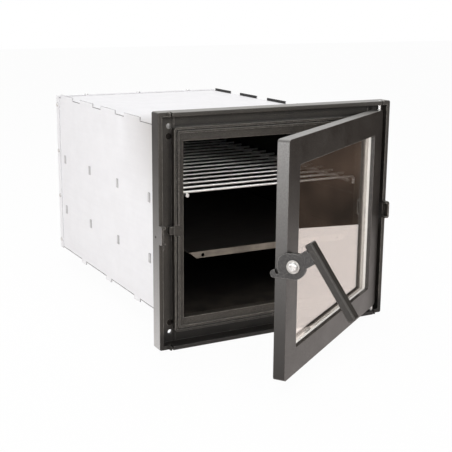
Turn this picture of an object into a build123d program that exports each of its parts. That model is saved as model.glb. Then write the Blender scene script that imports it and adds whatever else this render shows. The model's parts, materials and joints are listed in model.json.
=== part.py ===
from build123d import *
import math
import os

os.makedirs("parts", exist_ok=True)

# Built-in baking-oven insert for a masonry stove: a cast front frame with a glazed door,
# and behind it a sheet-steel oven casing with a wire rack and a shelf plate.
# Millimetres. X to the right, Y to the back, Z up. The origin is the centre of the frame's
# back face, which lies against the masonry. "Front" sizes count forwards from that face.

# ---------------------------------------------------------------- driving dimensions
# front frame
frame_width = 410.0
frame_height = 358.0
frame_depth = 22.0
frame_corner = 3.0
rim_thick = 6.5
rim_bead = 1.2            # rounding of the cast rim's front edges
web_thick = 5.0
strip_proud = 6.0         # how far the top and bottom strips stand before the side rims
strip_inset = 15.5        # from the frame's corner to the end of a strip
lip_inset_side = 28.5     # from the frame's outer edges to the raised lip
lip_inset_top = 23.5
lip_width_side = 15.5     # from there to the oven's mouth
lip_width_top = 20.5
lip_front = 13.2
lip_wall = 4.5
ridge_front = 15.7        # crest of the two sealing ridges
ridge_width = 3.0
ridge_gap = 2.5
lip_corner = 6.0
rib_inset = 32.0          # ribs in the web's corners, from the frame's side edges
rib_width = 2.5
rib_front = 6.8
collar_length = 12.0
collar_wall = 4.0
collar_play = 0.3
ear_height = 28.0
ear_proud = 10.0
ear_corner = 4.0
ear_wall = 2.6            # what is left of the ear beside the pivot bolt's head
ear_pocket_play = 1.5     # above and below that head
hook_slot_tall = 34.0     # slots in the web that the latch's nose dips into
hook_slot_middle = -10.0
hook_slot_inside = 2.5    # how far they reach in behind the door's edge
lug_size = 5.0            # small cast lugs beside the ears
lug_tall = 12.0
lug_front = 12.0
lug_middle = 2.0
lug_corner = 1.5
anchor_inset_side = 24.5  # from the frame's outer edges to the corner holes in the web
anchor_inset_top = 22.0
anchor_hole = 7.5
screw_below_anchor = 15.0

# hinge and latch
hinge_from_rim = 12.5
hinge_front = 19.0
hinge_pin = 6.0
hinge_clearance = 0.06
hinge_pin_depth = 14.0    # depth of the pins' blind holes in the door
hinge_pin_chamfer = 0.6
pin_end_gap = 0.3
pin_slit = 2.6
open_angle = 35.0         # the door stands this far open
pivot_above_face = 11.0   # from the door's face to the latch's pivot
pivot_size = 8.0
catch_pin = 4.0
catch_chamfer = 0.3
catch_sunk = 0.4          # the pin's outer end below the rim's side face
catch_drop = 4.85         # catch pin below the latch's pivot
catch_reach = 25.2        # catch pin's distance from the pivot when the door is shut
catch_clearance = 0.4
latch_throw = 12.0        # how far the hook turns to take hold, in degrees

# door
door_top_gap = 8.5        # between the door and the top and bottom rims
door_front = 24.0
door_depth = 16.7
door_wall = 6.0
door_plate = 6.3
door_side_gap = 6.5       # between the door's free edge and the rim
knuckle = 6.9
hinge_eye = 11.7          # rounded hinge end of the door's top and bottom walls
free_corner = 5.0
hinge_corner = 12.0
window_inset_side = 50.5  # from the frame's outer edge to the window of the shut door
window_inset_top = 52.0
window_corner = 4.0
glass_thick = 4.0
glass_overlap = 4.0
gasket_thick = 4.7
gasket_inset = 0.3
rope_width = 8.0
rope_thick = 5.0
rope_seat = 3.2
rope_side_gap = 0.3
rope_round = 2.2
clip_thick = 1.2
clip_long = 18.0
clip_foot = 9.2
clip_lip = 6.0
clip_gap = 0.3
clip_spread = 80.0        # top and bottom clips, each side of the middle
clip_screw = 4.0
clip_screw_long = 5.2
clip_hole_depth = 4.5
clip_head = 7.0
clip_head_tall = 1.0
clip_socket = 2.5

# latch
lever_thick = 4.0
lever_play = 0.1
hub_radius = 17.5
arm_angle = 34.0          # the arm rises outwards at this angle
arm_width = 21.0
arm_reach = 28.6          # from the pivot to the grip
nose_radius = 5.4
nose_reach = 30.1
nose_angle = 205.0
# outline of the hook behind the hub, from its lower jaw round to its back, with the pivot at 0, 0
hook_outline = [
    (-24.6, -10.0),
    (-22.3, -4.4),
    (-22.4, 4.0),
    (-20.2, 10.4),
    (-15.0, 15.0),
    (-9.0, 17.0),
    (4.0, 16.6),
    (4.0, -16.6),
    (-25.0, -17.6),
]
grip_length = 114.2
grip_above = 16.5         # grip's upper end above the arm's centre line
grip_width = 11.0
grip_thick = 16.0
grip_bevel = 1.5
grip_lap = 0.5            # how far the grip stands outside the lever
tenon_width = 12.0
tenon_depth = 7.0
tenon_play = 0.1
friction_washer = 0.8
friction_washer_size = 16.0
bolt_washer = 1.4
bolt_washer_size = 18.6
bolt_washer_chamfer = 0.4
bolt_head = 3.2
bolt_head_size = 13.0
bolt_head_round = 2.2
bolt_socket = 5.0
bolt_length = 22.0        # shank below the head
boss_length = 18.0
boss_height = 26.0
boss_proud = 20.0
boss_corner = 8.0

# oven casing
sheet = 1.5
casing_inset_side = 37.4  # from the frame's outer edge to the casing
casing_inset_top = 30.0
casing_depth = 535.0
flange_width = 22.0
top_tab_long = 66.0
top_tab_count = 4
top_tab_start = 164.0     # middle of the first tab behind the frame
top_tab_end_gap = 56.0    # from the middle of the last tab to the casing's back
bottom_tab_long = 24.0
bottom_tab_count = 3
bottom_tab_start = 152.0
bottom_tab_end_gap = 128.0
tab_proud = 5.0
tab_play = 0.2
rear_flange = 14.0
rear_sheet = 1.2
rear_play = 0.1
self_tapper = 3.9
self_tapper_head = 7.5
self_tapper_head_tall = 2.2
self_tapper_round = 1.4
self_tapper_long = 7.0
rear_side_screws = 4
rear_side_inset = 15.5    # from the casing's top and bottom to the outer screws
rear_top_screws = 3
rear_top_inset = 57.6

# runners, rack and shelf
runner_front = 14.0
runner_back_gap = 15.0
runner_ledge = 13.0
runner_rise = 20.5        # from the tabs' middle up to the ledge
runner_foot = 9.0         # below the tabs' middle
upper_runner_z = 31.35
lower_runner_z = -67.35
runner_tabs = 4
runner_tab_start = 94.0
runner_tab_end_gap = 42.0
runner_tab_tall = 15.0
runner_tab_fold = 6.5
rack_wire = 4.5
rack_rail = 6.0
rack_side_gap = 6.1       # between the rack or the shelf and the casing's side
rack_wires = 17
rack_front = 10.0
rack_back_gap = 21.0
rack_rail_inset = 15.0
rack_rail_overhang = 4.0
rack_weld = 0.3
rack_hook_drop = 12.0
rack_hook_bend = 5.0
shelf_front = 0.0
shelf_back_gap = 35.0
shelf_sheet = 1.5
shelf_rise = 8.5          # shelf's top above its runners
shelf_lip_drop = 10.3
shelf_lip_inset = 15.0    # from the shelf's side to the lip's slanted end
shelf_lip_slant = 12.0
shelf_hole = 5.5
shelf_hole_inset = 38.0
shelf_corner_cut = 20.0

# fasteners that hold the frame on the casing
frame_screw = 5.0
frame_screw_head = 10.0
frame_screw_socket = 3.0
screw_past_nut = 1.0
nut_across = 8.0
nut_thick = 4.5
hole_play = 0.05          # radial play of a fastener in its hole

# ---------------------------------------------------------------- places worked out from them
rim_inner_width = frame_width - 2 * rim_thick
rim_inner_height = frame_height - 2 * rim_thick
lip_outer_width = frame_width - 2 * lip_inset_side
lip_outer_height = frame_height - 2 * lip_inset_top
mouth_width = lip_outer_width - 2 * lip_width_side
mouth_height = lip_outer_height - 2 * lip_width_top
anchor_x = frame_width / 2 - anchor_inset_side
anchor_z = frame_height / 2 - anchor_inset_top
screw_z = anchor_z - screw_below_anchor
casing_width = frame_width - 2 * casing_inset_side
casing_height = frame_height - 2 * casing_inset_top
casing_inner_width = casing_width - 2 * sheet
casing_inner_height = casing_height - 2 * sheet

hinge_x = rim_inner_width / 2 - hinge_from_rim
door_free_x = -(rim_inner_width / 2 - door_side_gap)
door_height = rim_inner_height - 2 * door_top_gap
door_back = door_front - door_depth
plate_back = door_front - door_plate
window_width = frame_width - 2 * window_inset_side
window_height = frame_height - 2 * window_inset_top
rope_line = ridge_width + ridge_gap / 2      # the rope's middle, from the lip's outer edge
glass_width = window_width + 2 * glass_overlap
glass_height = window_height + 2 * glass_overlap
glass_front = plate_back - gasket_thick
glass_back = glass_front - glass_thick

pivot_front = door_front + pivot_above_face
lever_inner = friction_washer + 2 * lever_play
lever_outer = lever_inner + lever_thick
washer_outer = lever_outer + lever_play + bolt_washer
head_outer = washer_outer + bolt_head
ear_pocket_x = frame_width / 2 - ear_wall

# the catch pin lies where the hook's slot meets it when the door is shut
catch_back = math.sqrt(catch_reach**2 - catch_drop**2)
catch_front = pivot_front - catch_back

upper_ledge_z = upper_runner_z + runner_rise
lower_ledge_z = lower_runner_z + runner_rise
rack_width = casing_inner_width - 2 * rack_side_gap
rack_rail_x = rack_width / 2 - rack_rail_inset
rack_z = upper_ledge_z + rack_wire / 2
shelf_width = casing_inner_width - 2 * rack_side_gap
shelf_back = casing_depth - shelf_back_gap
shelf_top_z = lower_ledge_z + shelf_rise
shelf_hole_x = shelf_width / 2 - shelf_hole_inset
runner_back = casing_depth - runner_back_gap


def spread(start, end, count):
    """Evenly spaced places from start to end."""
    return [start + i * (end - start) / (count - 1) for i in range(count)]


runner_tab_places = spread(runner_tab_start, casing_depth - runner_tab_end_gap, runner_tabs)
top_tab_places = spread(top_tab_start, casing_depth - top_tab_end_gap, top_tab_count)
bottom_tab_places = spread(bottom_tab_start, casing_depth - bottom_tab_end_gap, bottom_tab_count)
wire_places = spread(rack_front, casing_depth - rack_back_gap, rack_wires)


# ---------------------------------------------------------------- planes and shared profiles
def front_plane(front):
    """Plane across the frame, `front` mm before its back face, seen from the room."""
    return Plane.XZ.offset(front)


swing = math.radians(open_angle)
across_door = Vector(math.cos(swing), math.sin(swing), 0)     # towards the hinge
out_of_door = Vector(math.sin(swing), -math.cos(swing), 0)    # out of the door's face
hinge_point = Vector(hinge_x, -hinge_front, 0)


def door_plane(front):
    """The same plane as front_plane gives when the door is shut, turned with the open door."""
    origin = hinge_point + out_of_door * (front - hinge_front) - across_door * hinge_x
    return Plane(origin=origin, x_dir=across_door, z_dir=out_of_door)


def hinge_plan(height):
    """Level plane through the hinge line: x towards the hinge side, y into the door."""
    return Plane(origin=hinge_point + Vector(0, 0, height), x_dir=across_door, z_dir=(0, 0, 1))


def latch_plane(outboard):
    """Plane square to the pivot, `outboard` mm beyond the door's free edge: x outwards, y up."""
    edge = across_door * (door_free_x - hinge_x - outboard)
    origin = hinge_point + edge + out_of_door * (pivot_front - hinge_front)
    return Plane(origin=origin, x_dir=out_of_door, z_dir=-across_door)


def ring(width, height, corner, wall):
    """A rounded rectangular ring, `wall` wide inwards from its outer size."""
    RectangleRounded(width, height, corner)
    RectangleRounded(width - 2 * wall, height - 2 * wall, max(corner - wall, 1.0), mode=Mode.SUBTRACT)


def lip_ring(inside, wall):
    """A ring that follows the frame's raised lip, `inside` mm within the lip's outer edge."""
    corner = max(lip_corner - inside, wall + 1.0)
    ring(lip_outer_width - 2 * inside, lip_outer_height - 2 * inside, corner, wall)


# ---------------------------------------------------------------- front frame
with BuildPart() as front_frame:
    # back web with the oven's mouth
    with BuildSketch(front_plane(0)):
        RectangleRounded(frame_width, frame_height, frame_corner)
        Rectangle(mouth_width, mouth_height, mode=Mode.SUBTRACT)
    extrude(amount=web_thick)
    # outer rim
    with BuildSketch(front_plane(0)):
        ring(frame_width, frame_height, frame_corner, rim_thick)
    extrude(amount=frame_depth)
    fillet(front_frame.faces().sort_by(Axis.Y)[0].outer_wire().edges(), rim_bead)
    # strips that stand proud of the top and bottom rims
    with BuildSketch(front_plane(frame_depth - rim_bead)):
        with Locations((0, frame_height / 2 - rim_thick / 2), (0, -frame_height / 2 + rim_thick / 2)):
            Rectangle(frame_width - 2 * strip_inset, rim_thick)
    extrude(amount=strip_proud + rim_bead)
    strip_front = frame_depth + strip_proud
    strip_faces = front_frame.faces().filter_by(Axis.Y).sort_by(Axis.Y)[:2]
    fillet(strip_faces.edges(), rim_bead)
    # ears at mid height on both sides
    with BuildSketch(Plane.YZ.offset(frame_width / 2)):
        with Locations((-frame_depth - (ear_proud - ear_corner) / 2, 0)):
            RectangleRounded(ear_proud + ear_corner, ear_height, ear_corner)
    extrude(amount=-rim_thick)
    with BuildSketch(Plane.YZ.offset(-frame_width / 2)):
        with Locations((-frame_depth - (ear_proud - ear_corner) / 2, 0)):
            RectangleRounded(ear_proud + ear_corner, ear_height, ear_corner)
    extrude(amount=rim_thick)
    # raised lip round the mouth, hollow behind at the sides, with its ridges
    with BuildSketch(front_plane(0)):
        RectangleRounded(lip_outer_width, lip_outer_height, lip_corner)
        Rectangle(mouth_width, mouth_height, mode=Mode.SUBTRACT)
    extrude(amount=lip_front)
    hollow_x = (mouth_width + lip_width_side) / 2
    with BuildSketch(front_plane(0)):
        with Locations((-hollow_x, 0), (hollow_x, 0)):
            Rectangle(lip_width_side - 2 * lip_wall, mouth_height)
    extrude(amount=lip_front - lip_wall, mode=Mode.SUBTRACT)
    for ridge in range(2):
        with BuildSketch(front_plane(lip_front)):
            lip_ring(ridge * (ridge_width + ridge_gap), ridge_width)
        extrude(amount=ridge_front - lip_front)
    # ribs in the web's corners, from the lip to the top and bottom rims
    rib_z = (rim_inner_height + lip_outer_height) / 4
    rib_tall = (rim_inner_height - lip_outer_height) / 2 + lip_corner
    with BuildSketch(front_plane(0)):
        with GridLocations(frame_width - 2 * rib_inset, 2 * rib_z, 2, 2):
            Rectangle(rib_width, rib_tall)
    extrude(amount=rib_front)
    # collar that enters the casing
    with BuildSketch(front_plane(0)):
        ring(
            casing_inner_width - 2 * collar_play,
            casing_inner_height - 2 * collar_play,
            collar_wall,
            collar_wall,
        )
    extrude(amount=-collar_length)
    # room in the ears for the pivot bolt's head
    pocket_middle = (ear_pocket_x + rim_inner_width / 2) / 2
    with BuildSketch(front_plane(frame_depth)):
        with Locations((-pocket_middle, 0), (pocket_middle, 0)):
            Rectangle(ear_pocket_x - rim_inner_width / 2, bolt_washer_size + 2 * ear_pocket_play)
    extrude(amount=ear_proud, mode=Mode.SUBTRACT)
    # slots in the web that the hook dips into, and gaps in the ridges beside them
    slot_outer = rim_inner_width / 2
    slot_inner = slot_outer - door_side_gap - hook_slot_inside
    slot_middle = (slot_outer + slot_inner) / 2
    with BuildSketch(front_plane(0)):
        with Locations((slot_middle, hook_slot_middle), (-slot_middle, hook_slot_middle)):
            Rectangle(slot_outer - slot_inner, hook_slot_tall)
    extrude(amount=web_thick, mode=Mode.SUBTRACT)
    ridges_outer = lip_outer_width / 2
    ridges_inner = ridges_outer - 2 * ridge_width - ridge_gap
    ridges_middle = (ridges_outer + ridges_inner) / 2
    with BuildSketch(front_plane(lip_front)):
        with Locations((ridges_middle, lug_middle), (-ridges_middle, lug_middle)):
            Rectangle(ridges_outer - ridges_inner, lug_tall + lug_size)
    extrude(amount=ridge_front - lip_front, mode=Mode.SUBTRACT)
    lug_x = ridges_outer + lug_size / 2
    with BuildSketch(front_plane(0)):
        with Locations((-lug_x, lug_middle), (lug_x, lug_middle)):
            RectangleRounded(lug_size + 2 * lug_corner, lug_tall, lug_corner)
    extrude(amount=lug_front)
    # holes for the hinge pins on both sides, each with a slit to the front
    slit_y = -(hinge_front + strip_front) / 2
    for wall_z in (-frame_height / 2, frame_height / 2 - rim_thick):
        with BuildSketch(Plane.XY.offset(wall_z)):
            with Locations((hinge_x, -hinge_front), (-hinge_x, -hinge_front)):
                Circle(hinge_pin / 2 + hole_play)
            with Locations((hinge_x, slit_y), (-hinge_x, slit_y)):
                Rectangle(pin_slit, strip_front - hinge_front)
        extrude(amount=rim_thick, mode=Mode.SUBTRACT)
    # catch pin's hole through the left rim
    with BuildSketch(Plane.YZ.offset(-frame_width / 2)):
        with Locations((-catch_front, -catch_drop)):
            Circle(catch_pin / 2 + hole_play)
    extrude(amount=rim_thick, mode=Mode.SUBTRACT)
    # anchor holes for the masonry, and countersunk holes for the casing's screws
    with Locations(front_plane(web_thick)):
        with GridLocations(2 * anchor_x, 2 * anchor_z, 2, 2):
            Hole(anchor_hole / 2, depth=web_thick)
        with GridLocations(2 * anchor_x, 2 * screw_z, 2, 2):
            CounterSinkHole(frame_screw / 2 + hole_play, frame_screw_head / 2 + hole_play, depth=web_thick)
front_frame.part.label = "front_frame"
export_step(front_frame.part, "parts/front_frame.step")

# ---------------------------------------------------------------- hinge pins and catch pin
pin_seat = door_height / 2 - hinge_pin_depth + pin_end_gap
for name, side in (("hinge_pin_top", 1), ("hinge_pin_bottom", -1)):
    with BuildPart() as pin:
        start = Plane(origin=(hinge_x, -hinge_front, side * pin_seat), z_dir=(0, 0, side))
        with BuildSketch(start):
            Circle(hinge_pin / 2)
        extrude(amount=frame_height / 2 - pin_seat)
        chamfer(pin.edges().filter_by(GeomType.CIRCLE), hinge_pin_chamfer)
    pin.part.label = name
    export_step(pin.part, f"parts/{name}.step")

with BuildPart() as catch:
    with BuildSketch(Plane.YZ.offset(-frame_width / 2 + catch_sunk)):
        with Locations((-catch_front, -catch_drop)):
            Circle(catch_pin / 2)
    extrude(amount=rim_thick + door_side_gap - lever_inner - catch_sunk)
    chamfer(catch.edges().filter_by(GeomType.CIRCLE), catch_chamfer)
catch.part.label = "catch_pin"
export_step(catch.part, "parts/catch_pin.step")

# ---------------------------------------------------------------- screws and nuts of the frame
corners = [(x, z) for x in (-anchor_x, anchor_x) for z in (-screw_z, screw_z)]
screw_end = -sheet - nut_thick - screw_past_nut
head_depth = (frame_screw_head - frame_screw) / 2
with BuildPart() as frame_screws:
    with BuildSketch(front_plane(screw_end)):
        with Locations(*corners):
            Circle(frame_screw / 2)
    extrude(amount=web_thick - head_depth / 2 - screw_end)
    for x, z in corners:
        with BuildSketch(front_plane(web_thick)):
            with Locations((x, z)):
                Circle(frame_screw_head / 2)
        extrude(amount=-head_depth, taper=45)
    with BuildSketch(front_plane(web_thick)):
        with Locations(*corners):
            RegularPolygon(frame_screw_socket / 2, 6, major_radius=False)
    extrude(amount=-frame_screw_socket / 2, mode=Mode.SUBTRACT)
frame_screws.part.label = "frame_screws"
export_step(frame_screws.part, "parts/frame_screws.step")

with BuildPart() as frame_nuts:
    with BuildSketch(front_plane(-sheet)):
        with Locations(*corners):
            RegularPolygon(nut_across / 2, 6, major_radius=False)
            Circle(frame_screw / 2 + hole_play, mode=Mode.SUBTRACT)
    extrude(amount=-nut_thick)
frame_nuts.part.label = "frame_nuts"
export_step(frame_nuts.part, "parts/frame_nuts.step")

# ---------------------------------------------------------------- oven casing
panel_back = casing_depth - rear_sheet
outer_screw_z = casing_height / 2 - rear_side_inset
side_screw_z = spread(-outer_screw_z, outer_screw_z, rear_side_screws)
outer_screw_x = casing_width / 2 - rear_top_inset
top_screw_x = spread(-outer_screw_x, outer_screw_x, rear_top_screws)
rear_screw_y = casing_depth - rear_flange / 2

for name, side in (("side_panel_left", -1), ("side_panel_right", 1)):
    outer_face = Plane.YZ.offset(side * casing_width / 2)
    inward = -side * sheet
    with BuildPart() as panel:
        with BuildSketch(outer_face):
            with Locations((panel_back / 2, 0)):
                Rectangle(panel_back, casing_inner_height)
            with Locations(*[(y, casing_inner_height / 2) for y in top_tab_places]):
                Rectangle(top_tab_long, 2 * (sheet + tab_proud))
            with Locations(*[(y, -casing_inner_height / 2) for y in bottom_tab_places]):
                Rectangle(bottom_tab_long, 2 * (sheet + tab_proud))
        extrude(amount=inward)
        # slots for the runners' tabs
        with BuildSketch(outer_face):
            for runner_z in (upper_runner_z, lower_runner_z):
                with Locations(*[(y, runner_z) for y in runner_tab_places]):
                    Rectangle(sheet + 2 * tab_play, runner_tab_tall + 2 * tab_play)
            with Locations(*[(rear_screw_y, z) for z in side_screw_z]):
                Circle(self_tapper / 2 + hole_play)
        extrude(amount=inward, mode=Mode.SUBTRACT)
        # flange that the frame's screws go through
        with BuildSketch(front_plane(0)):
            with Locations((side * (casing_inner_width / 2 + flange_width / 2), 0)):
                Rectangle(flange_width, casing_inner_height)
            with Locations((side * anchor_x, screw_z), (side * anchor_x, -screw_z)):
                Circle(frame_screw / 2 + hole_play, mode=Mode.SUBTRACT)
        extrude(amount=-sheet)
    panel.part.label = name
    export_step(panel.part, f"parts/{name}.step")

for name, side, tab_long, places in (
    ("top_panel", 1, top_tab_long, top_tab_places),
    ("bottom_panel", -1, bottom_tab_long, bottom_tab_places),
):
    edge_x = casing_width / 2 - sheet / 2
    notches = [(x, y) for x in (-edge_x, edge_x) for y in places]
    with BuildPart() as panel:
        with BuildSketch(Plane.XY.offset(side * casing_inner_height / 2)):
            with Locations((0, panel_back / 2)):
                Rectangle(casing_width, panel_back)
            with Locations(*notches):
                Rectangle(sheet + 2 * tab_play, tab_long + 2 * tab_play, mode=Mode.SUBTRACT)
            with Locations(*[(x, rear_screw_y) for x in top_screw_x]):
                Circle(self_tapper / 2 + hole_play, mode=Mode.SUBTRACT)
        extrude(amount=side * sheet)
    panel.part.label = name
    export_step(panel.part, f"parts/{name}.step")

rear_width = casing_width + 2 * (rear_play + rear_sheet)
rear_height = casing_height + 2 * (rear_play + rear_sheet)
with BuildPart() as rear_panel:
    with BuildSketch(front_plane(-casing_depth)):
        Rectangle(rear_width, rear_height)
    extrude(amount=rear_sheet)
    with BuildSketch(front_plane(-casing_depth)):
        Rectangle(rear_width, rear_height)
        Rectangle(rear_width - 2 * rear_sheet, rear_height - 2 * rear_sheet, mode=Mode.SUBTRACT)
    extrude(amount=rear_flange)
    with BuildSketch(Plane.YZ):
        with Locations(*[(rear_screw_y, z) for z in side_screw_z]):
            Circle(self_tapper / 2 + hole_play)
    extrude(amount=rear_width, both=True, mode=Mode.SUBTRACT)
    with BuildSketch(Plane.XY):
        with Locations(*[(x, rear_screw_y) for x in top_screw_x]):
            Circle(self_tapper / 2 + hole_play)
    extrude(amount=rear_height, both=True, mode=Mode.SUBTRACT)
rear_panel.part.label = "rear_panel"
export_step(rear_panel.part, "parts/rear_panel.step")

with BuildPart() as rear_screws:
    for side in (-1, 1):
        for face, places in (
            (Plane(origin=(side * rear_width / 2, 0, 0), x_dir=(0, 1, 0), z_dir=(side, 0, 0)),
             [(rear_screw_y, side * z) for z in side_screw_z]),
            (Plane(origin=(0, 0, side * rear_height / 2), x_dir=(side, 0, 0), z_dir=(0, 0, side)),
             [(side * x, rear_screw_y) for x in top_screw_x]),
        ):
            with BuildSketch(face):
                with Locations(*places):
                    Circle(self_tapper_head / 2)
            extrude(amount=self_tapper_head_tall)
            with BuildSketch(face):
                with Locations(*places):
                    Circle(self_tapper / 2)
            extrude(amount=-self_tapper_long)
    circles = rear_screws.edges().filter_by(GeomType.CIRCLE)
    side_rims = circles.filter_by(lambda e: abs(e.center().X) > rear_width / 2 + self_tapper_round)
    top_rims = circles.filter_by(lambda e: abs(e.center().Z) > rear_height / 2 + self_tapper_round)
    fillet(side_rims + top_rims, self_tapper_round)
rear_screws.part.label = "rear_panel_screws"
export_step(rear_screws.part, "parts/rear_panel_screws.step")

# ---------------------------------------------------------------- runners for rack and shelf
for level, tab_z in (("upper", upper_runner_z), ("lower", lower_runner_z)):
    ledge_z = tab_z + runner_rise
    for hand, side in (("left", -1), ("right", 1)):
        wall_x = side * casing_inner_width / 2
        with BuildPart() as runner:
            with BuildSketch(front_plane(-runner_back)):
                leg_height = runner_rise + runner_foot
                with Locations((wall_x - side * sheet / 2, ledge_z - leg_height / 2)):
                    Rectangle(sheet, leg_height)
                with Locations((wall_x - side * runner_ledge / 2, ledge_z - sheet / 2)):
                    Rectangle(runner_ledge, sheet)
            extrude(amount=runner_back - runner_front)
            # tabs pass through the panel and are folded flat outside it
            with BuildSketch(Plane.XY.offset(tab_z - runner_tab_tall / 2)):
                with Locations(*[(wall_x + side * sheet / 2, y) for y in runner_tab_places]):
                    Rectangle(2 * sheet, sheet)
                fold_x = wall_x + side * 1.5 * sheet
                fold_shift = (runner_tab_fold - sheet) / 2
                with Locations(*[(fold_x, y + fold_shift) for y in runner_tab_places]):
                    Rectangle(sheet, runner_tab_fold)
            extrude(amount=runner_tab_tall)
        runner.part.label = f"runner_{level}_{hand}"
        export_step(runner.part, f"parts/runner_{level}_{hand}.step")

# ---------------------------------------------------------------- wire rack
rail_z = rack_z - rack_wire / 2 - rack_rail / 2 + rack_weld
rail_start = wire_places[0] - rack_rail_overhang
rail_end = wire_places[-1] + rack_rail_overhang
with BuildPart() as wire_rack:
    # the straight cross wires
    with BuildSketch(Plane.YZ):
        with Locations(*[(y, rack_z) for y in wire_places[1:]]):
            Circle(rack_wire / 2)
    extrude(amount=rack_width / 2, both=True)
    # the front wire, with both ends turned down before the runners
    half = rack_width / 2 - rack_wire / 2
    with BuildLine() as front_wire:
        FilletPolyline(
            (-half, rack_front, rack_z - rack_hook_drop),
            (-half, rack_front, rack_z),
            (half, rack_front, rack_z),
            (half, rack_front, rack_z - rack_hook_drop),
            radius=rack_hook_bend,
        )
    with BuildSketch(Plane(origin=front_wire.line @ 0, z_dir=front_wire.line % 0)):
        Circle(rack_wire / 2)
    sweep(path=front_wire.line)
    # the two rails that they are welded on
    with BuildSketch(front_plane(-rail_end)):
        with Locations((-rack_rail_x, rail_z), (rack_rail_x, rail_z)):
            Circle(rack_rail / 2)
    extrude(amount=rail_end - rail_start)
wire_rack.part.label = "wire_rack"
export_step(wire_rack.part, "parts/wire_rack.step")

# ---------------------------------------------------------------- shelf plate
shelf_depth = shelf_back - shelf_front
wall_drop = shelf_rise - shelf_sheet
with BuildPart() as shelf_plate:
    with BuildSketch(Plane.XY.offset(shelf_top_z - shelf_sheet)):
        with Locations((0, shelf_front + shelf_depth / 2)):
            Rectangle(shelf_width, shelf_depth)
        cut_x = (shelf_width - shelf_lip_inset) / 2
        cut_y = shelf_front + shelf_corner_cut / 2
        with Locations((-cut_x, cut_y), (cut_x, cut_y)):
            Rectangle(shelf_lip_inset, shelf_corner_cut, mode=Mode.SUBTRACT)
    extrude(amount=shelf_sheet)
    # edges turned down on to the runners
    with BuildSketch(Plane.XY.offset(shelf_top_z - shelf_sheet)):
        wall_start = shelf_front + shelf_corner_cut
        wall_x = (shelf_width - shelf_sheet) / 2
        wall_y = (wall_start + shelf_back) / 2
        with Locations((-wall_x, wall_y), (wall_x, wall_y)):
            Rectangle(shelf_sheet, shelf_back - wall_start)
        with Locations((0, shelf_back - shelf_sheet / 2)):
            Rectangle(shelf_width, shelf_sheet)
    extrude(amount=-wall_drop)
    # front lip with slanted ends and two holes
    lip_top_x = shelf_width / 2 - shelf_lip_inset
    lip_bottom_x = lip_top_x - shelf_lip_slant
    with BuildSketch(front_plane(-shelf_front - shelf_sheet)):
        with BuildLine():
            Polyline(
                (-lip_top_x, shelf_top_z),
                (lip_top_x, shelf_top_z),
                (lip_bottom_x, shelf_top_z - shelf_lip_drop),
                (-lip_bottom_x, shelf_top_z - shelf_lip_drop),
                close=True,
            )
        make_face()
        hole_z = shelf_top_z - (shelf_sheet + shelf_lip_drop) / 2
        with Locations((-shelf_hole_x, hole_z), (shelf_hole_x, hole_z)):
            Circle(shelf_hole / 2, mode=Mode.SUBTRACT)
    extrude(amount=shelf_sheet)
shelf_plate.part.label = "shelf_plate"
export_step(shelf_plate.part, "parts/shelf_plate.step")

# ---------------------------------------------------------------- door
door_width = hinge_x + knuckle - door_free_x
door_middle_x = (hinge_x + knuckle + door_free_x) / 2
to_hinge = Axis((0, 0, 0), tuple(across_door))
out_axis = Axis((0, 0, 0), tuple(out_of_door))

# the clips' places on the glass's edge, each with its outward direction
edge_x = glass_width / 2
edge_z = glass_height / 2
clip_places = [
    (-clip_spread, edge_z, (0, 1)),
    (clip_spread, edge_z, (0, 1)),
    (-clip_spread, -edge_z, (0, -1)),
    (clip_spread, -edge_z, (0, -1)),
    (-edge_x, 0, (-1, 0)),
    (edge_x, 0, (1, 0)),
]
clip_screw_out = (clip_gap + clip_thick + clip_foot) / 2
clip_screw_places = [
    (x + out_x * clip_screw_out, z + out_z * clip_screw_out) for x, z, (out_x, out_z) in clip_places
]

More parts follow.
